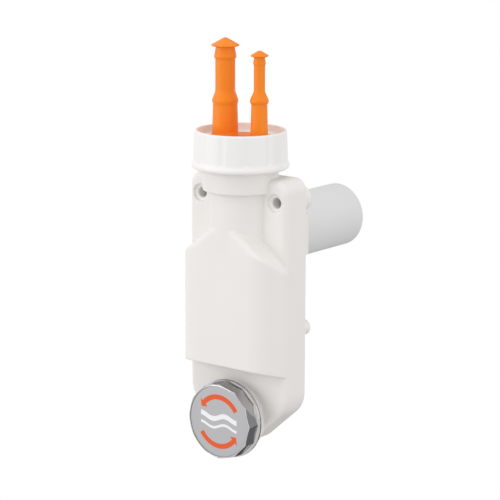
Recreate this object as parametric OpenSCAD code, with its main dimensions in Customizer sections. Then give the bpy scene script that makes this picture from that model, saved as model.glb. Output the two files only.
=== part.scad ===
// Slim wall trap with two hose tails, a straight outlet pipe and a chromed clean-out cap.
// Millimetres. X is to the right, Y runs back into the wall along the outlet pipe, Z is up.
// The origin is on the axis of the outlet, in the plane of the rear feet and of the socket's mouth.

/* [Body] */
// Width of the flat rear box
body_w = 74.5; // [68:0.5:90]
// Thickness of the flat rear box
body_t = 21.5; // [20:0.5:30]
// Height of the box's top edge above the outlet axis
body_top = 39.5; // [37:0.5:50]
// Depth of the foot's two upper round corners below the outlet axis
foot_drop = 94.4; // [85:0.2:100]
// Radius of the foot's three round corners, of which the lowest lies round the clean-out
foot_corner_r = 18; // [16:0.5:19]
// Radius of the two top corners
corner_r = 8; // [5:0.5:10]
// Rounding of the box's front edge
edge_r = 3.5; // [2:0.25:4]
// Thickness of the box's walls
wall = 2.6; // [2.2:0.1:3.2]

/* [Front chamber] */
// How far the chamber stands out in front of the box
bulge_p = 15.4; // [15:0.1:20]
// Height of the chamber's top, above the outlet axis
bulge_top = 12; // [8:0.5:14]
// Depth of the chamber's bottom where it meets the box, below the outlet axis
bulge_drop = 81.4; // [72:0.2:84]
// How much higher the front edge of its slanted bottom is
bulge_rise = 4.5; // [3:0.25:6]
// Radius of its two upright front edges
bulge_r = 17; // [14:0.5:18]
// Slope of its two shoulders, in degrees
shoulder_tilt = 38; // [30:1:44]
// Rounding where a shoulder turns into the side
shoulder_r = 16; // [8:0.5:18]
// Rounding of the two shoulders' front edges
shoulder_edge_r = 4; // [3:0.5:5]

/* [Neck] */
// Distance of the neck's axis in front of the back of the box
neck_set = 18; // [17:0.25:19]
// Outer diameter of the collar and the threaded neck
neck_d = 46.5; // [46:0.1:48]
// Outer diameter of the inlet tube below the collar
tube_d = 39; // [38:0.25:39.25]
// Bore through the neck and the tube
bore_d = 32; // [28:0.5:33]
// Height of the collar's lower edge above the outlet axis
collar_z = 31; // [30:0.5:34]
// Height of the neck's rim above the collar's lower edge
neck_h = 24; // [22:0.5:26]

/* [Ring nut] */
// How far the nut stands out beyond the neck at its top, on the radius
nut_wall = 4.85; // [4.3:0.05:6.5]
// How far its bottom flange stands out beyond the neck, on the radius
nut_flange_w = 6.55; // [6:0.05:8]
// Height of the nut
nut_h = 23.25; // [20:0.25:24]
// Depth of the open recess in its top
nut_recess = 4.5; // [3:0.25:5]
// Width of the lip that presses the connector's flange down
nut_lip_w = 1.7; // [1.2:0.05:1.9]
// Number of shallow upright flutes
flutes = 12; // [8:1:18]

/* [Hose connector] */
// How much smaller than the neck the connector's flange is, on the radius
flange_set = 0.75; // [0.5:0.05:1.2]
// Distance of the large tail to the left of the neck's axis
large_x = 12; // [11.5:0.1:12.5]
// Distance of the small tail to the right of the neck's axis
small_x = 14.2; // [13.5:0.1:14.5]
// Outer diameter of the large tail's plain upper stretch
large_d = 12.2; // [11:0.1:13]
// Outer diameter of the small tail's plain upper stretch
small_d = 6.8; // [6:0.1:7]
// Height of the large tail's tip above the connector's top face
large_h = 60; // [56:0.5:66]
// Height of the small tail's tip above the connector's top face
small_h = 54; // [48:0.5:58]

/* [Outlet] */
// Outer diameter of the outlet pipe
pipe_d = 40; // [39.6:0.1:40.4]
// Wall of the outlet pipe
pipe_wall = 2; // [1.6:0.1:3]
// Reach of the pipe behind the wall plane
pipe_reach = 79; // [50:1:120]
// Wall of the short boss round the pipe
boss_wall = 2.1; // [1.4:0.1:2.4]
// Height of the rear feet, which stand on the wall
foot_h = 5; // [4:0.25:7]

/* [Clean-out] */
// Depth of the cap's axis below the outlet axis
cap_drop = 111.5; // [109:0.5:115]
// Wall of the cap at its face, outside the spigot's radius
cap_wall = 3.4; // [2.8:0.05:4]
// How far the cap's rear flange stands out beyond the spigot, on the radius
cap_flange_w = 5.2; // [4.6:0.05:6]
// Depth of the cap from face to rear edge
cap_h = 12; // [11:0.25:13]
// Outer diameter of the threaded spigot
spigot_d = 39; // [38:0.1:40]
// Distance of the cap's face in front of the box
cap_reach = 18; // [16.5:0.1:20]

/* [Fits] */
// Space between a plain thread and its mate, on the radius
thread_gap = 0.08; // [0.04:0.01:0.1]
// Space between the pipe and its socket, on the radius
pipe_gap = 0.08; // [0.04:0.01:0.1]
// Space round the inner pieces that are laid in
laid_gap = 0.2; // [0.1:0.05:0.3]

/* [Hidden] */
$fn = 96;
EPS = 0.01;

// Planes from back to front
back_y = -foot_h;
front_y = back_y - body_t;
inner_front_y = front_y + wall;
neck_y = back_y - neck_set;
bulge_y = front_y - bulge_p;
cap_face_y = front_y - cap_reach;

// Box and its cover
foot_r = body_w / 2;
foot_x = foot_r - foot_corner_r;
foot_turn = atan2(foot_x, cap_drop - foot_drop);
slant_l = norm([foot_x, cap_drop - foot_drop]);
foot_lap = 5;
slant_end = 0.6;
cover_t = 3;
rim_t = 1.6;
cover_y = back_y - cover_t;
ceiling_z = 29;
ceiling_t = 2.5;
back_edge_r = 1;
lug_d = 10;
lug_z = -54.5;
lug_x = foot_r - lug_d / 2 - 0.05;

// Boss and two side ribs behind the cover, which end just short of the wall plane
boss_set = 0.5;
rib_set = 1.85;
rib_t = 2;
rib_low_z = -8.6;
rib_top_z = 17;

// Screw holes
screw_set = 8.5;
screw_x = foot_r - screw_set;
screw_z = 26;
screw_d = 6.5;
screw_recess_d = 11;
screw_recess_t = 1.8;
screw_boss_d = 16.8;

// Chamber
bulge_wall = 3.6;
bottom_lap = 2;
tube_fade = 10;
tube_sink = 0.2;
flat_half = 5.5;
CREASE = 0.4;
SHIFT = 0.05;
TURN_STEPS = 12;

// Neck, from the collar upward
neck_top_z = collar_z + neck_h;
gasket_t = 2;
flange_t = 3;
ring_t = 1;
seat_z = neck_top_z + gasket_t;
ring_z = seat_z + flange_t;
lip_z = ring_z + ring_t;
lip_t = 2.4;
nut_top_z = lip_z + lip_t + nut_recess;
nut_bottom_z = nut_top_z - nut_h;
nut_top_r = neck_d / 2 + nut_wall;
nut_flange_r = neck_d / 2 + nut_flange_w;
flange_d = neck_d - 2 * flange_set;
nut_lip_d = flange_d - 2 * nut_lip_w;
nut_flange_h = 3.5;
nut_flare = 1;
nut_chamfer = 1.2;
nut_edge = 0.6;
nut_rim_t = 1.9;
nut_lean = 0.8;
flute_d = 12;
flute_cut = 0.45;
raised_d = nut_lip_d - 0.6;
raised_drop = 0.5;
connector_top_z = lip_z + lip_t - raised_drop;

// Hose tails, with heights above the connector's top face
tail_wall = 1.7;
tail_root_h = 2;
tail_draft = 0.4;
barb_t = 1.4;
barb_run = 7;
tip_edge = 0.4;
UPPER_BARB = 1.13;
TIP_NECK = 0.95;
large_step_d = 15;
large_barb_d = 16;
large_barb_z = 21;
large_upper_z = 48.4;
large_root_d = 17;
large_tip_d = 17.3;
large_cone_h = 5.2;
small_step_d = 9.7;
small_barb_d = 11.4;
small_barb_z = 23;
small_upper_z = 46.4;
small_root_d = 11.2;
small_tip_d = 11;
small_cone_h = 3.6;

// Outlet socket
sleeve_depth = 12;
sleeve_y = back_y - sleeve_depth;
sleeve_wall = 3.4;
seal_t = 2.2;
seal_w = 4;
seal_y = sleeve_y + 5;
pipe_in = sleeve_y + 0.6;
pipe_chamfer = 0.8;
pipe_step = 0.3;
socket_r = pipe_d / 2 - pipe_step + pipe_gap;

// Partition
partition_t = 2;
partition_drop = 66;
ramp_z = 22;
ramp_rise = 5;

// Clean-out
cap_gasket_t = 1.8;
cap_roof_t = 2.9;
spigot_y = cap_face_y + cap_roof_t + cap_gasket_t;
spigot_wall = 3.2;
spigot_root_d = spigot_d + 3;
spigot_root_gap = 1;
cap_flats = 12;
cap_flat_rise = 0.1;
cap_lip_h = 2;
cap_edge = 0.4;
cap_bevel = 0.9;
disc_rim = 0.6;
disc_d = spigot_d + 2 * (cap_wall - disc_rim);
disc_t = 1;
disc_set = 0.4;

white = [0.93, 0.92, 0.90];
cool_white = [0.85, 0.86, 0.88];
orange = [0.96, 0.47, 0.10];
chrome = [0.72, 0.72, 0.74];
satin = [0.66, 0.67, 0.68];
rubber = [0.13, 0.13, 0.13];

// Turns a flat outline drawn in X and Z into a slab from y0 (rear) forward by t
module slab(y0, t) {
    translate([0, y0, 0]) rotate([90, 0, 0]) linear_extrude(height = t) children();
}

// Turns a profile of radius and depth about an axis along Y, with depth toward the front
module turned_y(x, y, z) {
    translate([x, y, z]) rotate([90, 0, 0]) rotate_extrude() children();
}

// Points of an arc round a centre, from one angle to another
function arc(x, z, r, from, to) = [for (i = [0:TURN_STEPS])
    let (a = from + (to - from) * i / TURN_STEPS) [x + r * cos(a), z + r * sin(a)]];

// Outline of the box: straight sides, two round top corners, and a foot that narrows over two
// round corners to a third one, which lies round the clean-out
module box_outline(inset) {
    r = foot_corner_r - inset;
    top_r = max(corner_r - inset, 0.5);
    top_x = foot_r - inset - top_r;
    top_z = body_top - inset - top_r;
    polygon(concat(arc(0, -cap_drop, r, foot_turn - 180, -foot_turn),
        arc(foot_x, -foot_drop, r, -foot_turn, 0), arc(top_x, top_z, top_r, 0, 90),
        arc(-top_x, top_z, top_r, 90, 180), arc(-foot_x, -foot_drop, r, 180, 180 + foot_turn)));
}

// Section of the box from its back (0) to its front, half a width wide, with both edges rounded
module edge_section(half) {
    square([half - edge_r, body_t]);
    translate([0, back_edge_r]) square([half, body_t - edge_r - back_edge_r]);
    square([half - back_edge_r, body_t - edge_r]);
    translate([half - edge_r, body_t - edge_r]) circle(r = edge_r);
    translate([half - back_edge_r, back_edge_r]) circle(r = back_edge_r);
}

// The box is made of pieces with the same section: the foot's round corners, the slants between
// them, the straight sides, the two top corners and the stretch between those. The slants lie a
// trace inside the round corners, so that their faces cross.
module box_outer() {
    side_top = body_top - corner_r;
    translate([0, back_y, -cap_drop]) rotate([90, 0, 0]) rotate_extrude(angle = -180)
        edge_section(foot_corner_r);
    slab(back_y, body_t) polygon([[0, -cap_drop - foot_lap], [foot_x + foot_lap, -foot_drop + 1],
        [-foot_x - foot_lap, -foot_drop + 1]]);
    translate([0, back_y, -foot_drop]) linear_extrude(height = side_top + foot_drop)
        for (side = [0, 1]) mirror([side, 0]) mirror([0, 1]) edge_section(foot_r);
    for (side = [0, 1]) mirror([side, 0, 0]) {
        translate([0, back_y, -cap_drop]) rotate([90, 0, 0]) rotate([0, 0, -foot_turn])
            translate([0, slant_l - slant_end, 0]) rotate([90, 0, 0])
                linear_extrude(height = slant_l - 2 * slant_end) edge_section(foot_corner_r - SHIFT);
        translate([foot_x, back_y, -foot_drop]) rotate([90, 0, 0]) rotate_extrude(angle = -90)
            edge_section(foot_corner_r);
        translate([foot_r - corner_r, back_y, side_top]) rotate([90, 0, 0])
            rotate_extrude(angle = 90) edge_section(corner_r);
    }
    translate([-(foot_r - corner_r), back_y, side_top]) rotate([90, 0, 90])
        linear_extrude(height = 2 * (foot_r - corner_r)) rotate(90) edge_section(corner_r);
}

// Front view of the chamber: a level top, two sloping shoulders and round turns into the sides
module chamber_front(inset, rise) {
    half = foot_r - inset + CREASE;
    r = shoulder_r - inset / 2;
    top = bulge_top - inset;
    bottom = -bulge_drop + inset + rise;
    turn = 90 - shoulder_tilt;
    turn_x = half - r + r * sin(shoulder_tilt);
    side_z = top - (turn_x - flat_half) * tan(shoulder_tilt) - r * cos(shoulder_tilt);
    right = arc(half - r, side_z, r, 0, turn);
    left = [for (i = [TURN_STEPS:-1:0]) [-right[i][0], right[i][1]]];
    polygon(concat([[half, bottom]], right, [[flat_half, top], [-flat_half, top]], left,
        [[-half, bottom]]));
}

// Plan of the chamber: flat front with two large rounded edges
module chamber_plan(inset) {
    half = foot_r - inset;
    r = bulge_r - inset;
    front = bulge_y + inset;
    depth = inner_front_y - front;
    translate([-half, front + r]) square([2 * half, depth - r]);
    translate([-half + r, front]) square([2 * (half - r), depth]);
    for (side = [-1, 1]) translate([side * (half - r), front + r]) circle(r = r);
}

// The chamber's block, smaller all round by an inset and with its bottom raised
module chamber(inset, rise) {
    intersection() {
        slab(inner_front_y + 1, wall + bulge_p + 2) chamber_front(inset, rise);
        translate([0, 0, -bulge_drop - bottom_lap - 1])
            linear_extrude(height = bulge_drop + bottom_lap + bulge_top + 2) chamber_plan(inset);
    }
}

// Everything below one shoulder's slope, with a round front edge; it stands a little clear of the
// chamber's own faces, so that only the edge is taken off
module under_shoulder(side) {
    long = 2 * body_w;
    r = shoulder_edge_r;
    edge_y = bulge_y + r - SHIFT;
    mirror([side, 0, 0]) translate([flat_half, 0, bulge_top]) rotate([0, shoulder_tilt, 0])
        translate([-long, 0, 0]) rotate([90, 0, 90]) linear_extrude(height = 2 * long)
            polygon(concat([[0, -long], [bulge_y - SHIFT, -long]],
                arc(edge_y, SHIFT - r, r, 180, 90), [[edge_y, long], [0, long]]));
}

// Everything above the slanted bottom
module over_bottom() {
    slope = bulge_rise / bulge_p;
    far = 2 * bulge_p;
    translate([-body_w, 0, 0]) rotate([90, 0, 90]) linear_extrude(height = 2 * body_w) polygon([
        [front_y + far, -bulge_drop - slope * far], [front_y - far, -bulge_drop + slope * far],
        [front_y - far, body_top], [front_y + far, body_top]]);
}

module chamber_outer() {
    intersection() {
        chamber(0, -bottom_lap);
        under_shoulder(0);
        under_shoulder(1);
        over_bottom();
    }
}

module screw_places() {
    for (side = [-1, 1]) translate([side * screw_x, 0, screw_z]) children();
}

// Rod along Y from its rear end y0 forward by t
module rod(y0, t, d) {
    translate([0, y0, 0]) rotate([90, 0, 0]) cylinder(d = d, h = t);
}

module lugs(extra) {
    for (side = [-1, 1]) translate([side * lug_x, 0, lug_z]) rod(0, -cover_y + EPS, lug_d + 2 * extra);
}

module screw_bosses(extra) {
    screw_places() rod(0, foot_h + body_t, screw_boss_d + 2 * extra);
}

// The inlet tube: whole above the water room, and only its front half in front of it, where it
// runs out on the chamber's front with a slight slant
module tube() {
    front = neck_y - tube_d / 2 - SHIFT;
    translate([0, neck_y, ceiling_z]) cylinder(d = tube_d, h = collar_z + 1 - ceiling_z);
    intersection() {
        translate([0, neck_y, -tube_fade]) cylinder(d = tube_d, h = tube_fade + ceiling_z);
        translate([-body_w / 2, 0, 0]) rotate([90, 0, 90]) linear_extrude(height = body_w) polygon([
            [inner_front_y, -tube_fade - 1], [bulge_y + tube_sink, -tube_fade - 1],
            [front, bulge_top], [front, ceiling_z + 1], [inner_front_y, ceiling_z + 1]]);
    }
}

module trap_body() {
    color(white) difference() {
        union() {
            box_outer();
            chamber_outer();
            tube();
            translate([0, neck_y, collar_z]) cylinder(d = neck_d, h = neck_h);
            translate([0, 0, -cap_drop]) rod(front_y + wall, front_y + wall - spigot_y, spigot_d);
            translate([0, 0, -cap_drop]) rod(front_y + wall, cap_reach - cap_h - spigot_root_gap + wall,
                spigot_root_d);
            lugs(0);
            screw_places() rod(0, foot_h + 1, screw_boss_d);
        }
        // Room for the water, open at the back for the cover
        difference() {
            slab(back_y + 1, body_t - wall + 1) intersection() {
                box_outline(wall);
                translate([-body_w, -2 * body_w]) square([2 * body_w, 2 * body_w + ceiling_z]);
            }
            lugs(0);
            screw_bosses(0);
        }
        // Seat of the cover
        difference() {
            slab(back_y + 1, cover_t + 1) cover_outline(rim_t);
            lugs(0);
            screw_bosses(0);
        }
        chamber(bulge_wall, bulge_rise);
        translate([0, neck_y, 0]) cylinder(d = bore_d, h = neck_top_z + 1);
        translate([0, 0, -cap_drop]) rod(front_y + wall + 1, cap_reach + wall, spigot_d - 2 * spigot_wall);
        // Hollows behind the top corners, round the tube and the screw bosses
        difference() {
            slab(back_y + 1, body_t - wall + 1) intersection() {
                box_outline(wall);
                translate([-body_w, ceiling_z + ceiling_t]) square([2 * body_w, body_w]);
            }
            translate([0, neck_y, 0]) cylinder(d = tube_d, h = neck_top_z);
            screw_bosses(0);
        }
        screw_places() rod(1, body_t + foot_h + 2, screw_d);
        screw_places() rod(front_y + screw_recess_t, 2 * screw_recess_t, screw_recess_d);
    }
}

module cover_outline(inset) {
    intersection() {
        box_outline(inset);
        translate([-body_w, -2 * body_w]) square([2 * body_w, 2 * body_w + ceiling_z + ceiling_t / 2]);
    }
}

module back_cover() {
    color(white) difference() {
        union() {
            slab(back_y, cover_t) cover_outline(rim_t + laid_gap / 2);
            rod(-boss_set, foot_h - boss_set + EPS, 2 * (socket_r + boss_wall));
            rod(back_y, back_y - sleeve_y, 2 * (socket_r + sleeve_wall));
            for (side = [0, 1]) mirror([side, 0, 0])
                translate([foot_r - rib_set - rib_t, back_y - 1, rib_low_z])
                    cube([rib_t, foot_h - boss_set + 1, rib_top_z - rib_low_z]);
        }
        rod(1, 1 - sleeve_y + 1, 2 * socket_r);
        rod(seal_y + seal_w, seal_w, 2 * (socket_r + seal_t));
        lugs(laid_gap / 2);
        screw_bosses(laid_gap / 2);
    }
}

module partition() {
    rear_y = inner_front_y + partition_t;
    half = foot_r - wall - laid_gap / 2;
    color(white) difference() {
        translate([-half, 0, 0]) rotate([90, 0, 90]) linear_extrude(height = 2 * half) polygon([
            [inner_front_y, -partition_drop], [rear_y, -partition_drop],
            [rear_y, ramp_z], [cover_y, ramp_z + ramp_rise], [cover_y, ceiling_z],
            [inner_front_y, ramp_z + partition_t]]);
        screw_bosses(laid_gap / 2);
    }
}

module outlet_pipe() {
    length = pipe_reach - pipe_in;
    r = pipe_d / 2;
    push_r = r - pipe_step;
    color(cool_white) turned_y(0, pipe_reach, 0) polygon([
        [r - pipe_wall, 0], [r, 0], [r, pipe_reach], [push_r, pipe_reach],
        [push_r, length - pipe_chamfer], [push_r - pipe_chamfer, length],
        [r - pipe_wall, length]]);
}

module outlet_seal() {
    color(rubber) turned_y(0, seal_y + seal_w, 0) polygon([
        [socket_r + 0.05, 0.3], [socket_r + 1, 0], [socket_r + seal_t, 0],
        [socket_r + seal_t, seal_w], [socket_r + 1, seal_w], [socket_r + 0.05, seal_w - 0.3]]);
}

module ring(z, t, outer_d, inner_d) {
    translate([0, neck_y, z]) difference() {
        cylinder(d = outer_d, h = t);
        translate([0, 0, -1]) cylinder(d = inner_d, h = t + 2);
    }
}

module neck_gasket() {
    color(rubber) ring(neck_top_z, gasket_t, flange_d, bore_d + 2);
}

// Half of a stepped tail from its root upward: a wide lower stretch that ends in a barb, a plain
// upper stretch that ends in a second barb, and a closed arrow tip
module tail(d, h, step_d, barb_d, barb_z, upper_z, root_d, tip_d, cone_h) {
    bore = d - 2 * tail_wall;
    tip_z = h - cone_h;
    translate([0, 0, connector_top_z]) rotate_extrude() difference() {
        polygon([
            [0, -EPS], [root_d / 2, -EPS], [step_d / 2 + tail_draft, tail_root_h],
            [step_d / 2, barb_z - barb_t], [barb_d / 2, barb_z], [barb_d / 2, barb_z + barb_t],
            [d / 2, barb_z + barb_run], [d / 2, upper_z - barb_t],
            [d / 2 * UPPER_BARB, upper_z], [d / 2 * TIP_NECK, tip_z - tip_edge],
            [tip_d / 2, tip_z + tip_edge], [tip_d / 2, tip_z + 2 * tip_edge], [tip_edge, h], [0, h]]);
        translate([-1, -1]) square([bore / 2 + 1, tip_z - tail_wall + 1]);
    }
}

module hose_connector() {
    large_bore = large_d - 2 * tail_wall;
    small_bore = small_d - 2 * tail_wall;
    root_bore_h = flange_t + tail_root_h + 1;
    color(orange) translate([0, neck_y, 0]) difference() {
        union() {
            translate([0, 0, seat_z]) cylinder(d = flange_d, h = flange_t);
            translate([0, 0, seat_z]) cylinder(d = raised_d, h = connector_top_z - seat_z);
            translate([-large_x, 0, 0]) tail(large_d, large_h, large_step_d, large_barb_d,
                large_barb_z, large_upper_z, large_root_d, large_tip_d, large_cone_h);
            translate([small_x, 0, 0]) tail(small_d, small_h, small_step_d, small_barb_d,
                small_barb_z, small_upper_z, small_root_d, small_tip_d, small_cone_h);
        }
        translate([-large_x, 0, seat_z - 1]) cylinder(d = large_bore, h = root_bore_h);
        translate([small_x, 0, seat_z - 1]) cylinder(d = small_bore, h = root_bore_h);
    }
}

module slip_ring() {
    color(white) ring(ring_z, ring_t, flange_d, nut_lip_d);
}

module ring_nut() {
    r = nut_top_r + nut_lean;
    rf = nut_flange_r;
    rt = nut_top_r;
    bore = neck_d / 2 + thread_gap;
    color(white) translate([0, neck_y, 0]) difference() {
        translate([0, 0, nut_bottom_z]) rotate_extrude() polygon([
            [bore, 0], [rf - nut_chamfer, 0], [rf, nut_chamfer], [rf, nut_flange_h - nut_edge],
            [r, nut_flange_h + nut_flare], [rt, nut_h - nut_edge], [rt - nut_edge, nut_h],
            [rt - nut_rim_t, nut_h],
            [rt - nut_rim_t, nut_h - nut_recess], [nut_lip_d / 2, nut_h - nut_recess],
            [nut_lip_d / 2, nut_h - nut_recess - lip_t], [bore, nut_h - nut_recess - lip_t]]);
        for (i = [0:flutes - 1]) rotate([0, 0, 360 / flutes * (i + 0.5)])
            translate([rt + flute_d / 2 - flute_cut, 0, nut_bottom_z + nut_flange_h + nut_flare])
                cylinder(d = flute_d, h = nut_h);
    }
}

module cleanout_gasket() {
    color(rubber) turned_y(0, spigot_y, -cap_drop) translate([spigot_d / 2 - spigot_wall, 0])
        square([spigot_wall, cap_gasket_t]);
}

module cleanout_cap() {
    rear_y = cap_face_y + cap_h;
    rf = spigot_d / 2 + cap_flange_w;
    r = spigot_d / 2 + cap_wall;
    side_r = rf - cap_edge;
    flat_r = r + cap_flat_rise;
    flats_y = rear_y - cap_lip_h - cap_edge;
    bore = spigot_d / 2 + thread_gap;
    seat = rear_y - spigot_y + cap_gasket_t;
    color(chrome) difference() {
        turned_y(0, rear_y, -cap_drop) polygon([
            [bore, 0], [rf - cap_edge, 0], [rf, cap_edge], [rf, cap_lip_h], [side_r, cap_lip_h + cap_edge],
            [side_r, cap_h - cap_bevel], [r - cap_edge, cap_h], [disc_d / 2, cap_h],
            [disc_d / 2, cap_h - disc_t - disc_set], [0, cap_h - disc_t - disc_set],
            [0, seat], [bore, seat]]);
        // Twelve flats round the grip, in front of the flange
        translate([0, 0, -cap_drop]) difference() {
            rod(flats_y, cap_h, 2 * rf + 2);
            rod(flats_y + 1, cap_h + 2, 2 * flat_r / cos(180 / cap_flats), $fn = cap_flats);
        }
    }
}

module cap_disc() {
    color(satin) turned_y(0, cap_face_y + disc_t + disc_set, -cap_drop) square([disc_d / 2, disc_t]);
}

trap_body();
back_cover();
partition();
outlet_pipe();
outlet_seal();
neck_gasket();
hose_connector();
slip_ring();
ring_nut();
cleanout_gasket();
cleanout_cap();
cap_disc();
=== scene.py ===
# %% [markdown]
# # A slim wall trap with two hose tails
# The object is a flat white plastic trap for a waste hose. It hangs on a wall on two screws, and its
# outlet pipe goes straight back into the wall. The measured model comes in first as a fixed frame:
# bodies that move, and nodes that say where each real piece is. Everything that is built below sits on
# that frame, in metres, with X to the right, Y into the wall and Z up.

# %% Load the frame
import math

import bmesh
import bpy
from mathutils import Matrix, Vector


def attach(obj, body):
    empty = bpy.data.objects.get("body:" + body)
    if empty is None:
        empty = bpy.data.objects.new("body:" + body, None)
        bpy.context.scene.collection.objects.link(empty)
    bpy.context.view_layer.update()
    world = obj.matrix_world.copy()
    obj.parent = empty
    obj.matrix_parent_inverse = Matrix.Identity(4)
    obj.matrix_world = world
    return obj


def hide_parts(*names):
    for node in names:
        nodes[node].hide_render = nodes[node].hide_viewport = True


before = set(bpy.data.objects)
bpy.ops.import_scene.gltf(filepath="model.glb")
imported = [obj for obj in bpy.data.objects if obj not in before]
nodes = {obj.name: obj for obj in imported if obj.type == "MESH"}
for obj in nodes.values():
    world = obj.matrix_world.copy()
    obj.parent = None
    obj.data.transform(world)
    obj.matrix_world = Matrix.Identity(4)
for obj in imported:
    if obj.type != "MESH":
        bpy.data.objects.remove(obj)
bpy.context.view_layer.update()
MM = 0.001

# %% [markdown]
# ## The camera
# The picture that this scene follows was taken from the front right, a little above the object, with a
# long lens. A long lens keeps upright edges parallel, which is how small goods are mostly shown. The
# place and the lens were fitted to corners that can be told in the picture, so the camera is set from
# an angle round the object, an angle down and a small roll, and not by eye.

# %% Place the camera
CAMERA_PLACE = Vector((0.8299, -1.0797, 0.2833))
AZIMUTH = math.radians(37.893)
PITCH = math.radians(12.187)
ROLL = math.radians(0.2095)
LENS_MM = 161.4
SENSOR_MM = 36

ahead = Vector((-math.sin(AZIMUTH) * math.cos(PITCH), math.cos(AZIMUTH) * math.cos(PITCH),
                -math.sin(PITCH)))
level = Vector((math.cos(AZIMUTH), math.sin(AZIMUTH), 0))
upward = level.cross(ahead)
right = math.cos(ROLL) * level + math.sin(ROLL) * upward
up = -math.sin(ROLL) * level + math.cos(ROLL) * upward
facing = Matrix((right, up, -ahead)).transposed().to_4x4()

camera = bpy.data.objects.new("Camera", bpy.data.cameras.new("Camera"))
camera.data.lens = LENS_MM
camera.data.sensor_width = SENSOR_MM
camera.matrix_world = Matrix.Translation(CAMERA_PLACE) @ facing
bpy.context.collection.objects.link(camera)
bpy.context.scene.camera = camera
print("Camera at", [round(v, 3) for v in CAMERA_PLACE], "with a lens of", LENS_MM, "mm")

# %% [markdown]
# ## The room
# The background is plain white, and nothing throws a shadow on it. White here comes from the world, and
# only for rays that reach the camera straight, by a mirror or through something clear. Other rays see a
# dimmer world, so the white background doesn't wash out the white plastic. It is dimmer still toward the
# floor, which shades the undersides.

# %% Whiten the world
WORLD_FILL = 0.82
FLOOR_FILL = 0.54
FLOOR_FROM, FLOOR_TO = -0.8, 0.0
WHITE = (1, 1, 1, 1)


def shader(tree, kind, **values):
    """A new node in a node tree, with constants set on its own sockets."""
    node = tree.nodes.new(kind)
    for name, value in values.items():
        node.inputs[name.replace("_", " ")].default_value = value
    return node


def larger(tree, first, second):
    """The larger of two sockets' values."""
    node = tree.nodes.new("ShaderNodeMath")
    node.operation = "MAXIMUM"
    tree.links.new(first, node.inputs[0])
    tree.links.new(second, node.inputs[1])
    return node.outputs[0]


world = bpy.data.worlds.new("White_Room")
bpy.context.scene.world = world
world.use_nodes = True
tree = world.node_tree
tree.nodes.clear()
seen = shader(tree, "ShaderNodeBackground", Color=WHITE, Strength=1.0)
fill = shader(tree, "ShaderNodeBackground", Color=WHITE)
toward = tree.nodes.new("ShaderNodeTexCoord")
split = tree.nodes.new("ShaderNodeSeparateXYZ")
tree.links.new(toward.outputs["Generated"], split.inputs[0])
dimming = shader(tree, "ShaderNodeMapRange", From_Min=FLOOR_FROM, From_Max=FLOOR_TO, To_Min=FLOOR_FILL,
                 To_Max=WORLD_FILL)
tree.links.new(split.outputs["Z"], dimming.inputs["Value"])
tree.links.new(dimming.outputs["Result"], fill.inputs["Strength"])
path = tree.nodes.new("ShaderNodeLightPath")
direct = larger(tree, path.outputs["Is Camera Ray"], path.outputs["Is Glossy Ray"])
clear = larger(tree, direct, path.outputs["Is Transmission Ray"])
choice = tree.nodes.new("ShaderNodeMixShader")
tree.links.new(clear, choice.inputs[0])
tree.links.new(fill.outputs[0], choice.inputs[1])
tree.links.new(seen.outputs[0], choice.inputs[2])
output = tree.nodes.new("ShaderNodeOutputWorld")
tree.links.new(choice.outputs[0], output.inputs[0])
bpy.context.scene.view_settings.view_transform = "Standard"
print("The world gives", WORLD_FILL, "of its white to the object, and", FLOOR_FILL, "from below")

# %% [markdown]
# One large soft lamp above gives the sloping faces their lighter tone, one at the front left lights the
# broad front, and one at the right keeps the side from going dull. All three are wide and weak, because a
# small strong lamp would put hard glints on the plastic.

# %% Hang the lamps
LAMP_AIM = Vector((0, 0, -0.03))
LAMPS = (("Lamp_Above", (0.15, -0.25, 0.95), 0.8, 1.5),
         ("Lamp_Front_Left", (-0.75, -0.95, 0.25), 0.7, 3.8),
         ("Lamp_Right", (1.1, -0.1, 0.2), 0.7, 1.6))


def lamp(name, place, side, watts):
    """A square soft lamp at a place, turned to face the object."""
    data = bpy.data.lights.new(name, "AREA")
    data.size = side
    data.energy = watts
    lit = bpy.data.objects.new(name, data)
    lit.location = place
    lit.rotation_euler = (LAMP_AIM - Vector(place)).to_track_quat("-Z", "Y").to_euler()
    bpy.context.collection.objects.link(lit)
    print(name, "gives", watts, "W from a square of", side, "m")


for setting in LAMPS:
    lamp(*setting)

# %% [markdown]
# ## Cards for the chrome
# Chrome shows what stands round it, so in a white room it turns white all over. Photographers put grey
# and dark cards beside it to get the bands that make it read as metal. The grip of the cap has flats, and
# each flat mirrors one direction only. A grey card stands in that direction for every flat that can be
# seen, and a narrow dark card between two of them draws a line along the corner. The cards are seen
# only in mirror reflections: they take no light from the plastic and the camera doesn't see them.

# %% Stand the cards
CAP_Z = -111.5
CAP_CENTRE = Vector((0, -38.5 * MM, CAP_Z * MM))
CARD_AWAY = 1.0
CARD_SIDE = 0.5
LINE_WIDTH, LINE_HEIGHT = 0.09, 0.36
FLAT_TONES = ((-45, 0.10), (-15, 0.20), (15, 0.42), (45, 0.14), (75, 0.26), (105, 0.2))
LINE_ANGLES = (-60, -30, 0, 30, 60)
LINE_TONE = (0.02, 0.02, 0.022)


def flat_material(name, colour):
    """A plain emission material, so that a card has the same tone from every side."""
    material = bpy.data.materials.new(name)
    material.use_nodes = True
    inside = material.node_tree
    inside.nodes.clear()
    glow = shader(inside, "ShaderNodeEmission", Color=(*colour, 1), Strength=1.0)
    out = inside.nodes.new("ShaderNodeOutputMaterial")
    inside.links.new(glow.outputs[0], out.inputs["Surface"])
    return material


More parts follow.
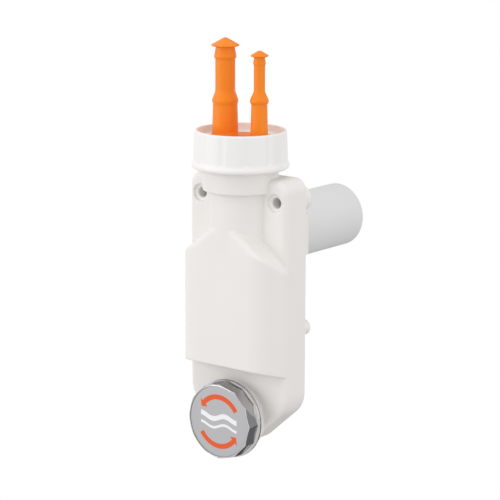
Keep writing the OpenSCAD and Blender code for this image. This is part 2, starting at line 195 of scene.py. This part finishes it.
def card(name, angle, width, height, material):
    """A card that only mirror reflections see, where a flat at this angle round the cap mirrors it."""
    normal = Vector((math.cos(math.radians(angle)), 0, math.sin(math.radians(angle))))
    mirrored = 2 * normal.dot(-ahead) * normal + ahead
    x, y = width / 2, height / 2
    mesh = bpy.data.meshes.new(name)
    mesh.from_pydata([(-x, -y, 0), (x, -y, 0), (x, y, 0), (-x, y, 0)], [], [(0, 1, 2, 3)])
    mesh.materials.append(material)
    stand = bpy.data.objects.new(name, mesh)
    stand.location = CAP_CENTRE + mirrored * CARD_AWAY
    stand.rotation_euler = (-mirrored).to_track_quat("Z", "Y").to_euler()
    bpy.context.collection.objects.link(stand)
    for ray in ("camera", "diffuse", "transmission", "volume_scatter", "shadow"):
        setattr(stand, "visible_" + ray, False)


for angle, tone in FLAT_TONES:
    card("Card_Grey", angle, CARD_SIDE, CARD_SIDE, flat_material("Grey_Card", (tone, tone, tone * 1.02)))
dark = flat_material("Dark_Card", LINE_TONE)
for angle in LINE_ANGLES:
    card("Card_Dark", angle, LINE_WIDTH, LINE_HEIGHT, dark)
print(len(FLAT_TONES), "grey cards and", len(LINE_ANGLES), "dark ones stand round the cap")

# %% [markdown]
# ## Finishes
# Nearly all the plastic here is injection moulded. Its skin is smooth with a very fine grain from the
# mould, and its tone drifts a little where the melt flowed. One function makes every moulded finish: a
# colour with a slow drift, a roughness with a slow drift, and a fine bump. The texture space is the
# object's own coordinates in metres, so a scale of 1400 gives grains of about 0.7 mm, and one of 28 gives
# drifts of a few centimetres. The orange plastic also lets some light in, which warms its shaded sides.

# %% Moulded plastic finishes
DRIFT_SCALE = 28.0
DRIFT_LOW, DRIFT_HIGH = 0.3, 0.7
MOULD_GRAIN = 1400.0
GRAIN_DEPTH = 0.2 * MM
POLISH_DOWN, POLISH_UP = 0.04, 0.05
DEPTH_WEIGHT, DEPTH_SCALE, DEPTH_SPECULAR = 0.12, 3.0 * MM, 0.3


def new_finish(name):
    """A new material with its node tree, its main shader and its object coordinates."""
    material = bpy.data.materials.new(name)
    material.use_nodes = True
    inside = material.node_tree
    where = inside.nodes.new("ShaderNodeTexCoord")
    return material, inside, inside.nodes["Principled BSDF"], where.outputs["Object"]


def toned(inside, skin, colour, spread, factor):
    """Lets the base colour go a little darker and lighter with a socket's value."""
    tone = inside.nodes.new("ShaderNodeMix")
    tone.data_type = "RGBA"
    tone.inputs["A"].default_value = (*[c * (1 - spread) for c in colour], 1)
    tone.inputs["B"].default_value = (*[min(c * (1 + spread), 1) for c in colour], 1)
    inside.links.new(factor, tone.inputs["Factor"])
    inside.links.new(tone.outputs["Result"], skin.inputs["Base Color"])


def polished(inside, skin, low, high, factor):
    """Lets the roughness go from low to high with a noise's value."""
    polish = shader(inside, "ShaderNodeMapRange", From_Min=DRIFT_LOW, From_Max=DRIFT_HIGH, To_Min=low,
                    To_Max=high)
    inside.links.new(factor, polish.inputs["Value"])
    inside.links.new(polish.outputs["Result"], skin.inputs["Roughness"])


def raised(inside, skin, height, strength, distance):
    """Gives the skin a bump that follows a socket's value."""
    relief = shader(inside, "ShaderNodeBump", Strength=strength, Distance=distance)
    inside.links.new(height, relief.inputs["Height"])
    inside.links.new(relief.outputs["Normal"], skin.inputs["Normal"])


def moulded(name, colour, roughness, drift=0.02, grain=MOULD_GRAIN, bump=0.05, depth_colour=None):
    """A moulded plastic: slow drifts of tone and polish, a fine mould grain and, if asked, light inside."""
    material, inside, skin, where = new_finish(name)
    slow = shader(inside, "ShaderNodeTexNoise", Scale=DRIFT_SCALE, Detail=2.0, Roughness=0.5)
    inside.links.new(where, slow.inputs["Vector"])
    toned(inside, skin, colour, drift, slow.outputs["Fac"])
    polished(inside, skin, roughness - POLISH_DOWN, roughness + POLISH_UP, slow.outputs["Fac"])
    if grain:
        fine = shader(inside, "ShaderNodeTexNoise", Scale=grain, Detail=3.0, Roughness=0.6)
        inside.links.new(where, fine.inputs["Vector"])
        raised(inside, skin, fine.outputs["Fac"], bump, GRAIN_DEPTH)
    if depth_colour:
        skin.inputs["Subsurface Weight"].default_value = DEPTH_WEIGHT
        skin.inputs["Specular IOR Level"].default_value = DEPTH_SPECULAR
        skin.inputs["Subsurface Radius"].default_value = depth_colour
        skin.inputs["Subsurface Scale"].default_value = DEPTH_SCALE
    return material


body_white = moulded("Body_White", (0.845, 0.818, 0.792), 0.42)
nut_white = moulded("Nut_White", (0.880, 0.865, 0.852), 0.36)
orange = moulded("Connector_Orange", (0.925, 0.247, 0.008), 0.38, drift=0.03, depth_colour=(1.0, 0.22, 0.02))
rubber = moulded("Seal_Rubber", (0.025, 0.025, 0.026), 0.62, grain=2400.0, bump=0.12)
print("Moulded finishes:", [m.name for m in (body_white, nut_white, orange, rubber)])

# %% [markdown]
# The outlet pipe isn't moulded but extruded: pulled through a ring-shaped die. That leaves very faint
# lines along its length. A wave texture whose bands run round the pipe would cut across it, so the
# lines come from a noise that is stretched along Y instead: it changes fast round the pipe and hardly
# at all along it. The pipe's white is cooler than the trap's.

# %% Extruded plastic finish
DIE_LINES = (900.0, 4.0, 900.0)
DIE_BUMP = 0.10


def extruded(name, colour, roughness):
    """A plastic with faint lines along Y."""
    material = moulded(name, colour, roughness, drift=0.012, grain=None)
    inside = material.node_tree
    where = inside.nodes.new("ShaderNodeTexCoord")
    stretch = shader(inside, "ShaderNodeMapping", Scale=DIE_LINES)
    lines = shader(inside, "ShaderNodeTexNoise", Scale=1.0, Detail=2.0, Roughness=0.5)
    inside.links.new(where.outputs["Object"], stretch.inputs["Vector"])
    inside.links.new(stretch.outputs["Vector"], lines.inputs["Vector"])
    raised(inside, inside.nodes["Principled BSDF"], lines.outputs["Fac"], DIE_BUMP, GRAIN_DEPTH)
    return material


pipe_white = extruded("Pipe_White", (0.725, 0.724, 0.735), 0.5)
print("Extruded finish:", pipe_white.name)

# %% [markdown]
# The clean-out cap is plastic with a chrome plating. Plated plastic is never quite flat: it has a slow
# ripple, and its polish changes a little.

# %% Plated finish
RIPPLE_SCALE = 160.0
RIPPLE_BUMP, RIPPLE_DEPTH = 0.15, 0.3 * MM


def plated(name, colour, roughness):
    """A chrome plating with a slow ripple and small changes of polish."""
    material, inside, skin, where = new_finish(name)
    skin.inputs["Metallic"].default_value = 1.0
    skin.inputs["Base Color"].default_value = (*colour, 1)
    ripple = shader(inside, "ShaderNodeTexNoise", Scale=RIPPLE_SCALE, Detail=1.0, Roughness=0.4)
    inside.links.new(where, ripple.inputs["Vector"])
    polished(inside, skin, roughness * 0.6, roughness * 1.5, ripple.outputs["Fac"])
    raised(inside, skin, ripple.outputs["Fac"], RIPPLE_BUMP, RIPPLE_DEPTH)
    return material


chrome = plated("Cap_Chrome", (0.50, 0.495, 0.50), 0.08)
print("Plated finish:", chrome.name)

# %% [markdown]
# The disc on the cap's face is duller metal, brushed in a circle, so its grain follows the distance from
# the cap's axis. That distance is worked out with vector math and fed to a noise, which then makes rings.
# The two inks of its print are plain matt finishes, made as the moulded ones are.

# %% Brushed finish and inks
RING_SCALE = 2600.0
RING_SPREAD = 0.05
RING_BUMP, RING_DEPTH = 0.08, 0.1 * MM
BRUSHED_METALLIC = 0.55


def brushed(name, colour, roughness, centre):
    """A metal brushed in circles round an axis along Y."""
    material, inside, skin, where = new_finish(name)
    skin.inputs["Metallic"].default_value = BRUSHED_METALLIC
    skin.inputs["Roughness"].default_value = roughness
    spot = where
    for operation, operand in (("SUBTRACT", centre), ("MULTIPLY", (1, 0, 1)), ("LENGTH", None)):
        step = inside.nodes.new("ShaderNodeVectorMath")
        step.operation = operation
        inside.links.new(spot, step.inputs[0])
        if operand:
            step.inputs[1].default_value = operand
        spot = step.outputs["Value" if operation == "LENGTH" else "Vector"]
    rings = shader(inside, "ShaderNodeTexNoise", Scale=RING_SCALE, Detail=2.0, Roughness=0.6)
    rings.noise_dimensions = "1D"
    inside.links.new(spot, rings.inputs["W"])
    toned(inside, skin, colour, RING_SPREAD, rings.outputs["Fac"])
    raised(inside, skin, rings.outputs["Fac"], RING_BUMP, RING_DEPTH)
    return material


satin = brushed("Disc_Satin", (0.46, 0.46, 0.475), 0.42, CAP_CENTRE)
ink_orange = moulded("Ink_Orange", (0.80, 0.10, 0.012), 0.6)
ink_white = moulded("Ink_White", (0.90, 0.90, 0.90), 0.5)
print("Brushed finish:", satin.name, "and inks:", ink_orange.name, ink_white.name)

# %% [markdown]
# ## The two halves of the housing
# The housing is a thin moulding with a soft edge everywhere, and the inner corners where the collar, the
# tube and the chamber meet the box are softly filled. The measured model has sharp ones. Bevels would
# have to be set edge by edge on a mesh that was cut together from many shapes. A voxel remesh does it in
# one go: it makes an even skin of small quads over the whole moulding, and a few rounds of smoothing then
# round every edge by about a millimetre. The flat faces stay flat, because smoothing moves nothing there.
# Most of the small faces on the flats aren't needed afterwards, so a decimate modifier takes them out.

# %% Soften a moulding
WELD_WITHIN = 0.01 * MM
SOFTEN_FACTOR = 0.5


def settle(piece, body, slot, *replaced):
    """Says what a finished piece rides on and which nodes it stands for. The slot argument is not used."""
    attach(piece, body)
    if replaced:
        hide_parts(*replaced)
    print(piece.name, "has", len(piece.data.polygons), "faces and rides on", body)


def add_object(name, mesh, material):
    """A linked object with a mesh of one material."""
    mesh.materials.clear()
    mesh.materials.append(material)
    piece = bpy.data.objects.new(name, mesh)
    bpy.context.collection.objects.link(piece)
    return piece


def softened(name, node, voxel, rounds, keep, material):
    """A copy of a node's mesh as an even skin with every edge rounded."""
    piece = add_object(name, nodes[node].data.copy(), material)
    piece.modifiers.new("Weld", "WELD").merge_threshold = WELD_WITHIN
    skin = piece.modifiers.new("Skin", "REMESH")
    skin.mode = "VOXEL"
    skin.voxel_size = voxel
    soft = piece.modifiers.new("Soft", "SMOOTH")
    soft.factor = SOFTEN_FACTOR
    soft.iterations = rounds
    piece.modifiers.new("Fewer", "DECIMATE").ratio = keep
    graph = bpy.context.evaluated_depsgraph_get()
    baked = bpy.data.meshes.new_from_object(piece.evaluated_get(graph))
    piece.modifiers.clear()
    piece.data = baked
    piece.data.shade_smooth()
    return piece


housing = softened("Trap_Housing", "trap_body", 0.55 * MM, 5, 0.29, body_white)
cover = softened("Rear_Cover", "back_cover", 0.6 * MM, 4, 0.5, body_white)
print("Housing:", len(housing.data.polygons), "faces, cover:", len(cover.data.polygons))

# %% [markdown]
# ## Turned shapes
# The nut, the tails, the pipe and the cap are round. Each is an outline of radius and height that is swung
# round an axis. The outline gets its corners rounded first, because a real moulding has no sharp ones and
# a rounded corner is what catches the light. A function may then change the radius at any height and
# angle, which is how flutes, flats and screw threads are cut.

# %% Ease an outline
CORNER_STEPS = 4
EDGE_SHARE = 0.45


def rounded(outline, radius):
    """A closed outline of (radius, height) points with an arc of short edges at each corner."""
    points = []
    count = len(outline)
    for i, corner in enumerate(outline):
        here = Vector(corner)
        before = Vector(outline[i - 1]) - here
        after = Vector(outline[(i + 1) % count]) - here
        cut = min(radius, before.length * EDGE_SHARE, after.length * EDGE_SHARE)
        start, end = here + before.normalized() * cut, here + after.normalized() * cut
        for k in range(CORNER_STEPS + 1):
            t = k / CORNER_STEPS
            points.append(tuple((1 - t) ** 2 * start + 2 * t * (1 - t) * here + t * t * end))
    return points


def dense(outline, longest):
    """The outline with its long edges cut into shorter ones."""
    points = []
    for i, start in enumerate(outline):
        a, b = Vector(start), Vector(outline[(i + 1) % len(outline)])
        parts = max(1, math.ceil((b - a).length / longest))
        points += [tuple(a.lerp(b, k / parts)) for k in range(parts)]
    return points


def eased(outline, radius, longest):
    """The outline with round corners and no long edges."""
    return dense(rounded(outline, radius), longest)


print("A corner is rounded in", CORNER_STEPS, "steps")

# %% Turn an outline
MERGE_WITHIN = 0.001 * MM
ON_AXIS = 0.01


def turned(name, outline, columns, material, change=None):
    """A closed outline in millimetres swung round the Z axis, as an object in metres."""
    vertices, faces = [], []
    count = len(outline)
    for c in range(columns):
        angle = 2 * math.pi * c / columns
        for r, z in outline:
            if change:
                r = change(r, z, angle)
            vertices.append((r * math.cos(angle) * MM, r * math.sin(angle) * MM, z * MM))
    for c in range(columns):
        a, b = c * count, (c + 1) % columns * count
        for i in range(count):
            j = (i + 1) % count
            faces.append((a + i, b + i, b + j, a + j))
    mesh = bpy.data.meshes.new(name)
    mesh.from_pydata(vertices, [], faces)
    clean = bmesh.new()
    clean.from_mesh(mesh)
    bmesh.ops.remove_doubles(clean, verts=clean.verts, dist=MERGE_WITHIN)
    bmesh.ops.recalc_face_normals(clean, faces=clean.faces)
    clean.to_mesh(mesh)
    clean.free()
    mesh.shade_smooth()
    return add_object(name, mesh, material)


def placed(piece, turn, offset):
    """Turns and moves a piece's own vertices, so that its object stays at the origin."""
    piece.data.transform(Matrix.Translation(Vector(offset) * MM) @ turn)
    return piece


def joined(name, pieces):
    """One object out of several that are one moulding."""
    whole = bmesh.new()
    for piece in pieces:
        whole.from_mesh(piece.data)
    mesh = bpy.data.meshes.new(name)
    whole.to_mesh(mesh)
    whole.free()
    mesh.shade_smooth()
    material = pieces[0].data.materials[0]
    for piece in pieces:
        bpy.data.objects.remove(piece)
    return add_object(name, mesh, material)


print("An outline that starts at a radius of", ON_AXIS, "mm closes on its axis")

# %% [markdown]
# Everything round sits on one of three axes: upright in the neck, toward the front in the clean-out, or
# toward the rear in the outlet. The first two are used many times, so each has a helper of its own.

# %% The axes of the round pieces
NECK_Y = -23.0
UPRIGHT = Matrix.Identity(4)
TO_FRONT = Matrix.Rotation(math.radians(90), 4, "X")
TO_REAR = Matrix.Rotation(math.radians(-90), 4, "X")


def on_neck(piece, x=0.0, z=0.0):
    """Stands a turned piece on the neck's axis, or beside it."""
    return placed(piece, UPRIGHT, (x, NECK_Y, z))


def on_cleanout(piece):
    """Lays a turned piece on the clean-out's axis, with its height toward the front."""
    return placed(piece, TO_FRONT, (0, 0, CAP_Z))


print("The neck's axis is at Y", NECK_Y, "mm and the clean-out's at Z", CAP_Z, "mm")

# %% [markdown]
# ## Screw threads
# The nut and the cap screw on. A thread is a ridge that climbs by one pitch in each turn, so the radius
# depends on height less the angle's share of the pitch. The ridge inside the nut lies half a pitch from
# the ridge on the neck. Both climb at the rate at which the joint lifts the nut, so they stay in each
# other's grooves at every angle.

# %% The thread's wave
PITCH_MM = 2.309
RIDGE_HALF = 0.21
RIDGE_FLANK = 0.13
THREAD_RUN_OUT = 1.2
SAME_RADIUS = 0.01


def share(value):
    """A value held between 0 and 1."""
    return min(1.0, max(0.0, value))


def wave(height, angle, shift):
    """0 in a thread's groove and 1 on its ridge, at a height in millimetres and an angle."""
    phase = (height / PITCH_MM - angle / (2 * math.pi) + shift) % 1.0
    return share((RIDGE_HALF - abs(phase - 0.5)) / RIDGE_FLANK)


def fade(height, low, high):
    """1 between two heights, and down to 0 over a short run at each end."""
    return min(share((height - low) / THREAD_RUN_OUT), share((high - height) / THREAD_RUN_OUT))


print("Threads climb", PITCH_MM, "mm in each turn")

# %% [markdown]
# The housing's neck and its clean-out spigot are plain cylinders in the measured model. They are turned
# down to the thread's root here, and a threaded sleeve goes round each. A low cone at the sleeve's foot
# leads from the thread to the plain skin, as on a real moulding. Both threads are covered while the nut
# and the cap are tight, and they show when these are screwed off.

# %% A sleeve with a thread
THREAD_COLUMNS = 128
THREAD_EDGE = 0.16
SLEEVE_T = 0.9
CONE_FOOT, CONE_EDGE, CONE_TOP = 1.4, 0.8, 0.3


def outside_thread(name, root, crest, plain, low, high):
    """A sleeve with a thread outside, and a cone below it up to the plain radius of the spigot."""
    inner = root - SLEEVE_T
    outline = dense([(inner, low - CONE_FOOT), (plain, low - CONE_FOOT), (plain, low - CONE_EDGE),
                     (root, low + CONE_TOP), (root, high), (inner, high)], THREAD_EDGE)

    def change(r, z, angle):
        if abs(r - root) > SAME_RADIUS:
            return r
        return root + (crest - root) * wave(z, angle, 0.0) * fade(z, low, high)

    return turned(name, outline, THREAD_COLUMNS, body_white, change)


print("A sleeve is", SLEEVE_T, "mm thick under its thread")

# %% Thread the neck and the spigot
NECK_R, NECK_ROOT_R, NECK_CREST_R = 23.25, 22.35, 23.15
SPIGOT_R, SPIGOT_ROOT_R, SPIGOT_CREST_R = 19.5, 18.6, 19.4
PROUD = 0.03
SKIN_INSIDE, SKIN_OUTSIDE = 0.4, 0.6


def turn_down(piece, axis_place, axis, low, high, outer, root):
    """Pulls the skin of a round stretch in to a smaller radius."""
    centre = Vector(axis_place) * MM
    along = Vector(axis)
    moved = 0
    for vertex in piece.data.vertices:
        off = vertex.co - centre
        height = off.dot(along)
        radial = off - along * height
        r = radial.length
        if low * MM < height < high * MM and (root - SKIN_INSIDE) * MM < r < (outer + SKIN_OUTSIDE) * MM:
            vertex.co = centre + along * height + radial * (root * MM / r)
            moved += 1
    print("Turned down", moved, "points to a radius of", root, "mm")


turn_down(housing, (0, NECK_Y, 0), (0, 0, 1), 46.3, 54.4, NECK_R, NECK_ROOT_R)
turn_down(housing, (0, 0, CAP_Z), (0, -1, 0), 33.2, 39.2, SPIGOT_R, SPIGOT_ROOT_R)
neck_thread = on_neck(outside_thread("Neck_Thread", NECK_ROOT_R, NECK_CREST_R, NECK_R + PROUD, 46.1, 54.5))
spigot_thread = on_cleanout(outside_thread("Spigot_Thread", SPIGOT_ROOT_R, SPIGOT_CREST_R, SPIGOT_R + PROUD,
                                           33.0, 39.3))
housing = joined("Trap_Housing", [housing, neck_thread, spigot_thread])
settle(housing, "body", "body_white", "trap_body")
settle(cover, "body", "body_white", "back_cover")

# %% [markdown]
# ## The ring nut
# The nut is a short cup without a floor. Its inner lip presses the orange connector down, and its wall
# stands above the lip as a thin rim. Outside, the wall leans in a little toward the top, flares into a
# flange at the bottom and carries shallow upright flutes for the grip. A flute is the track of a round
# cutter that stands upright beside the nut. Where the cutter reaches deeper than the wall, the wall's
# radius is cut by the difference.

# %% Turn the nut
NUT_LOW = 44.65
NUT_H = 23.25
NUT_COLUMNS = 288
NUT_SKIN_R = 26.8
FLUTES = 12
FLUTE_PHASE = 0.5
FLUTE_R = 6.0
FLUTE_CUT = 0.45
FLUTE_AT_R = 28.1
FLUTE_LOW = 4.4
FLUTE_RUN_OUT = 1.2
BORE_R = 23.33
NUT_CREST_R = 22.6
NUT_THREAD_LOW, NUT_THREAD_HIGH = NUT_LOW + 0.6, NUT_LOW + 12.6


def nut_change(r, z, angle):
    """Cuts the flutes into the nut's outer wall and raises the thread in its bore."""
    height = z - NUT_LOW
    if r > NUT_SKIN_R and height > FLUTE_LOW:
        step = 2 * math.pi / FLUTES
        off = (angle / step - FLUTE_PHASE + 0.5) % 1.0 - 0.5
        across = FLUTE_AT_R * math.sin(off * step)
        if abs(across) < FLUTE_R:
            deep = math.sqrt(FLUTE_R ** 2 - across ** 2) - (FLUTE_R - FLUTE_CUT)
            return r - max(0.0, deep) * min(1.0, (height - FLUTE_LOW) / FLUTE_RUN_OUT)
    if abs(r - BORE_R) < SAME_RADIUS:
        ridge = wave(z, angle, 0.5) * fade(z, NUT_THREAD_LOW, NUT_THREAD_HIGH)
        return BORE_R - (BORE_R - NUT_CREST_R) * ridge
    return r


nut_outline = [(BORE_R, 0), (28.7, 0), (29.79, 1.1), (29.79, 2.8), (29.15, 3.8), (28.85, 4.9), (28.1, 22.6),
               (27.6, NUT_H), (26.2, NUT_H), (26.2, 18.75), (20.8, 18.75), (20.8, 16.35), (BORE_R, 16.35)]
nut_outline = [(r, z + NUT_LOW) for r, z in eased(nut_outline, 0.5, 0.3)]
ring_nut = on_neck(turned("Ring_Nut", nut_outline, NUT_COLUMNS, nut_white, nut_change))
settle(ring_nut, "nut", "nut_white", "ring_nut")

# %% [markdown]
# ## The hose connector
# One orange moulding: a disc that the nut holds down, and two hollow tails on it. Each tail is wide at its
# root, steps down at a barb that bites into the hose, and ends in a closed tip that is cut off for use.
# Both tails come from one function that takes diameters, and heights counted from the disc's top face.

# %% Mould the connector
DISC_TOP = 62.9
SEAT_Z = 57.0
TAIL_COLUMNS = 96
CONNECTOR_COLUMNS = 144


def tail(name, x, top, plain, step, barb, barb_z, upper, root, tip, cone):
    """One hose tail in its place, from its root to its closed tip."""
    tip_z = top - cone
    outline = [(ON_AXIS, -1.5), (root / 2, -1.5), (root / 2, 0.2), (step / 2 + 0.9, 0.9),
               (step / 2 + 0.45, 2.4), (step / 2 + 0.4, 6.0), (step / 2, barb_z - 1.2),
               (barb / 2, barb_z - 0.1), (barb / 2, barb_z + 1.4), (plain / 2 + 0.15, barb_z + 6.0),
               (plain / 2, barb_z + 7.2), (plain / 2, upper - 1.4), (plain / 2 * 1.13, upper),
               (plain / 2 * 0.95, tip_z - 0.5), (tip / 2 - 0.2, tip_z + 0.2), (tip / 2, tip_z + 0.8),
               (0.9, top), (ON_AXIS, top)]
    return on_neck(turned(name, eased(outline, 0.55, 0.8), TAIL_COLUMNS, orange), x, DISC_TOP)


disc_outline = [(ON_AXIS, SEAT_Z), (22.5, SEAT_Z), (22.5, 60.0), (20.5, 60.0), (20.5, DISC_TOP),
                (ON_AXIS, DISC_TOP)]
base = on_neck(turned("Connector_Disc", eased(disc_outline, 0.4, 1.5), CONNECTOR_COLUMNS, orange))
large = tail("Large_Tail", -12.0, 60.0, 12.2, 15.0, 16.0, 21.0, 48.4, 17.0, 17.3, 5.2)
small = tail("Small_Tail", 14.2, 54.0, 6.8, 9.7, 11.4, 23.0, 46.4, 11.2, 11.0, 3.6)
connector = joined("Hose_Connector", [base, large, small])
settle(connector, "body", "connector_orange", "hose_connector")

# %% [markdown]
# ## The outlet pipe
# A plain extruded pipe. Its end is sawn square and the edge is broken with a file, which leaves a very
# small round. The stretch that sits in the trap's socket is a touch thinner and ends in a chamfer.

# %% Turn the pipe
PIPE_OUT, PIPE_IN = 79.0, -16.4
PIPE_R, PIPE_BORE_R, PIPE_SEATED_R = 20.0, 18.0, 19.7
PIPE_COLUMNS = 128
pipe_outline = [(PIPE_BORE_R, PIPE_IN), (18.9, PIPE_IN), (PIPE_SEATED_R, PIPE_IN + 0.8),
                (PIPE_SEATED_R, 0.0), (PIPE_R, 0.0), (PIPE_R, PIPE_OUT), (PIPE_BORE_R, PIPE_OUT)]
pipe = placed(turned("Outlet_Pipe", eased(pipe_outline, 0.35, 6.0), PIPE_COLUMNS, pipe_white), TO_REAR,
              (0, 0, 0))
settle(pipe, "pipe", "pipe_white", "outlet_pipe")

# %% [markdown]
# ## The clean-out cap
# The cap has a round flange at the rear and twelve flats in front of it, so that fingers or pliers can turn
# it. In polar form the distance to a flat is its own distance divided by the cosine of the angle from its
# middle, and the lesser of that and the round outline is the cap's radius. So the corners between the
# flats stay a little round, because the round outline takes them off.

# %% Turn the cap
CAP_REAR = 32.5
CAP_H = 12.0
CAP_COLUMNS = 288
CAP_SKIN_R = 21.0
CAP_FLANGE_T = 2.6
FLATS = 12
FLAT_R = 23.0
CAP_BORE_R = 19.58
CAP_CREST_R = 18.72
CAP_THREAD_LOW, CAP_THREAD_HIGH = CAP_REAR + 0.4, CAP_REAR + 8.6


def cap_change(r, z, angle):
    """Cuts the flats on the cap's grip and raises the thread in its bore."""
    if r > CAP_SKIN_R and z - CAP_REAR > CAP_FLANGE_T:
        step = 2 * math.pi / FLATS
        off = ((angle / step) % 1.0 - 0.5) * step
        return min(r, FLAT_R / math.cos(off))
    if abs(r - CAP_BORE_R) < SAME_RADIUS:
        ridge = wave(z, angle, 0.5) * fade(z, CAP_THREAD_LOW, CAP_THREAD_HIGH)
        return CAP_BORE_R - (CAP_BORE_R - CAP_CREST_R) * ridge
    return r


cap_outline = [(CAP_BORE_R, 0), (24.2, 0), (24.7, 0.5), (24.7, 2.0), (24.2, 2.5), (24.1, CAP_H - 0.9),
               (22.8, CAP_H), (22.4, CAP_H), (22.4, 10.6), (ON_AXIS, 10.6), (ON_AXIS, 9.1), (CAP_BORE_R, 9.1)]
cap_outline = [(r, z + CAP_REAR) for r, z in eased(cap_outline, 0.35, 0.3)]
cap = on_cleanout(turned("Cleanout_Cap", cap_outline, CAP_COLUMNS, chrome, cap_change))
settle(cap, "cap", "cap_chrome", "cleanout_cap")

# %% [markdown]
# ## The disc on the cap's face
# A thin satin disc fills the face inside the chrome rim. It is turned as the other round pieces are.

# %% Turn the disc
DISC_FACE = 44.1
DISC_BACK = DISC_FACE - 1.0
DISC_R = 22.3
DISC_COLUMNS = 144
disc_profile = [(ON_AXIS, DISC_BACK), (DISC_R, DISC_BACK), (DISC_R, DISC_FACE), (ON_AXIS, DISC_FACE)]
disc = on_cleanout(turned("Cap_Disc", eased(disc_profile, 0.2, 2.0), DISC_COLUMNS, satin))
settle(disc, "cap", "disc_satin", "cap_disc")

# %% [markdown]
# The disc has a plain pattern in two colours: two orange arrows that show which way the cap turns, with
# white waves for water between them. A texture could hold it, but its edges would blur from near. So the
# print is laid on as thin flat shapes, whose edges stay crisp at any distance.

# %% Lay the print on the disc
INK_T = 0.04
ARROW_R, ARROW_WIDTH, ARROW_STEPS = 15.6, 3.2, 24
HEAD_LENGTH, HEAD_HALF = 12, 1.15
WAVE_RISE, WAVE_HALF, WAVE_STEPS = 1.3, 14.0, 60


def printed(name, shapes, material):
    """Flat closed shapes in millimetres on the disc, each with a small thickness."""
    whole = bmesh.new()
    for shape in shapes:
        ring = [whole.verts.new((x * MM, y * MM, DISC_FACE * MM)) for x, y in shape]
        face = whole.faces.new(ring)
        grown = bmesh.ops.extrude_face_region(whole, geom=[face])
        top = [item for item in grown["geom"] if isinstance(item, bmesh.types.BMVert)]
        bmesh.ops.translate(whole, vec=(0, 0, INK_T * MM), verts=top)
    bmesh.ops.triangulate(whole, faces=whole.faces)
    bmesh.ops.recalc_face_normals(whole, faces=whole.faces)
    mesh = bpy.data.meshes.new(name)
    whole.to_mesh(mesh)
    whole.free()
    return on_cleanout(add_object(name, mesh, material))


def arrow(start, end):
    """A curved arrow from one angle to another, in degrees round the disc's centre."""
    def at(degrees, r):
        return (r * math.cos(math.radians(degrees)), r * math.sin(math.radians(degrees)))
    sweep = [start + (end - start) * k / ARROW_STEPS for k in range(ARROW_STEPS + 1)]
    outer = [at(a, ARROW_R + ARROW_WIDTH / 2) for a in sweep]
    inner = [at(a, ARROW_R - ARROW_WIDTH / 2) for a in reversed(sweep)]
    head = [at(end, ARROW_R + ARROW_WIDTH * HEAD_HALF), at(end + HEAD_LENGTH, ARROW_R),
            at(end, ARROW_R - ARROW_WIDTH * HEAD_HALF)]
    return outer + head + inner


def water(height, width):
    """A band that follows a wave across the disc."""
    xs = [-WAVE_HALF + 2 * WAVE_HALF * k / WAVE_STEPS for k in range(WAVE_STEPS + 1)]
    line = [(x, height + WAVE_RISE * math.sin(x / WAVE_HALF * 1.5 * math.pi)) for x in xs]
    return [(x, y + width / 2) for x, y in line] + [(x, y - width / 2) for x, y in reversed(line)]


for layer in (printed("Cap_Print_Orange", [arrow(32, 138), arrow(212, 318)], ink_orange),
              printed("Cap_Print_White", [water(2.6, 3.2), water(-3.0, 1.7)], ink_white)):
    settle(layer, "cap", "disc_satin")

# %% [markdown]
# ## Pieces that keep the measured shape
# The seals, the slip ring and the partition are simple and mostly hidden. Their measured shapes are right
# as they are, so they only get their finish. The finish goes into the object's own slot, which leaves the
# mesh as it came.

# %% Finish the carried-over nodes
KEPT_FINISHES = {"outlet_seal": rubber, "neck_gasket": rubber, "cleanout_gasket": rubber,
                 "slip_ring": nut_white, "partition": body_white}
for name, material in KEPT_FINISHES.items():
    kept = nodes[name]
    if not kept.material_slots:
        kept.data.materials.append(None)
    for place in kept.material_slots:
        place.link = "OBJECT"
        place.material = material
    print(name, "keeps its shape and gets", material.name)
